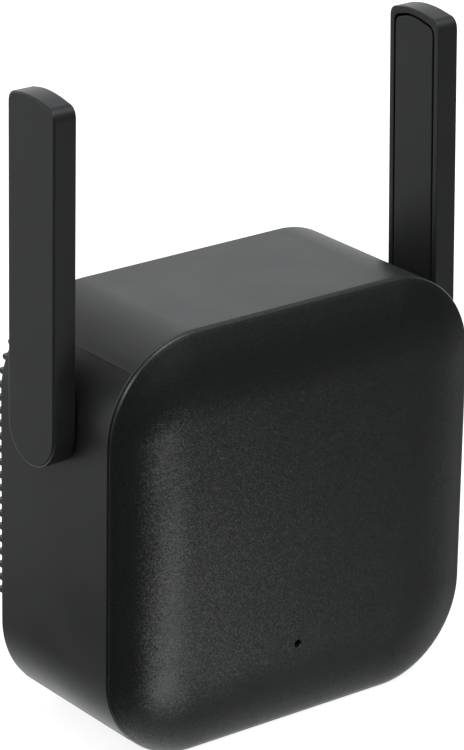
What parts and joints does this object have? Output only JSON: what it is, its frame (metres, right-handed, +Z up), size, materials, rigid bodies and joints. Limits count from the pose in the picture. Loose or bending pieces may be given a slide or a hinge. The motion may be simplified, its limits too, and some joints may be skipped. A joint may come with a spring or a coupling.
{
  "type": "wifi range extender",
  "caption": "Square plug-in wifi range extender with a domed front, two flat mains blades at the back and a folding flat antenna on each side.",
  "frame": {"origin": "centre of the raised pad on the rear cover, on the plane that rests against the wall plate, midway between the plug blades", "axes": "+Y into the wall, along the plug blades; -Y towards the domed front; +Z up, along the raised antennas; +X to the right seen from the front"},
  "size_m": [0.068, 0.0449, 0.092],
  "materials": {
    "cover_plastic": "coarse spark-eroded black ABS, dull with fine glitter",
    "casing_plastic": "fine satin black ABS",
    "antenna_plastic": "fine satin black ABS",
    "inner_plastic": "plain black moulded plastic",
    "nylon": "off-white moulded nylon",
    "nickel": "nickel-plated brass, satin",
    "steel": "zinc-plated steel",
    "brass": "bare spring brass",
    "board": "glass-epoxy board with green solder resist",
    "ferrite": "sintered ferrite",
    "tape": "yellow winding tape",
    "copper": "enamelled copper winding",
    "flex": "amber flexible circuit",
    "epoxy": "blue epoxy dip",
    "sleeve": "black PVC sleeve",
    "pad": "soft grey filler pad",
    "clear_plastic": "clear acrylic"
  },
  "bodies": {
    "housing": {"front_cover": "cover_plastic", "main_casing": "casing_plastic", "rear_cover": "casing_plastic", "plug_blade_left": "nickel", "plug_blade_right": "nickel", "contact_spring_left": "brass", "contact_spring_right": "brass", "blade_holder": "nylon", "power_board": "board", "transformer_core": "ferrite", "transformer_winding": "tape", "bulk_capacitor": "sleeve", "output_capacitor": "sleeve", "inrush_fuse": "pad", "bridge_rectifier": "inner_plastic", "choke": "copper", "safety_capacitor": "epoxy", "board_header": "inner_plastic", "radio_board": "board", "rf_shield": "steel", "thermal_pad": "pad", "heat_spreader": "steel", "status_led": "clear_plastic", "light_pipe": "clear_plastic", "reset_switch": "inner_plastic", "friction_washer_left": "steel", "coax_lead_left": "sleeve", "radio_screw_left": "steel", "power_screw_left": "steel", "friction_washer_right": "steel", "coax_lead_right": "sleeve", "radio_screw_right": "steel", "power_screw_right": "steel", "case_screw_1": "steel", "case_screw_2": "steel", "case_screw_3": "steel", "case_screw_4": "steel"},
    "antenna_left": {"antenna_shell_left": "antenna_plastic", "antenna_cover_left": "antenna_plastic", "antenna_element_left": "flex", "hinge_barrel_left": "inner_plastic", "retaining_clip_left": "steel"},
    "antenna_right": {"antenna_shell_right": "antenna_plastic", "antenna_cover_right": "antenna_plastic", "antenna_element_right": "flex", "hinge_barrel_right": "inner_plastic", "retaining_clip_right": "steel"},
    "reset_button": {"reset_button": "nylon"}
  },
  "joints": [
    {"name": "antenna_left_fold", "type": "hinge", "parent": "housing", "child": "antenna_left", "pos_m": [-0.03, -0.0139, 0.01635], "axis": [1, 0, 0], "range_deg": [-3.2, 179.8]},
    {"name": "antenna_right_fold", "type": "hinge", "parent": "housing", "child": "antenna_right", "pos_m": [0.03, -0.0139, 0.01635], "axis": [1, 0, 0], "range_deg": [-1, 182]},
    {"name": "reset_press", "type": "slide", "parent": "housing", "child": "reset_button", "axis": [0, 0, 1], "range_m": [0, 0.00025], "stiffness_N_per_m": 3000}
  ]
}
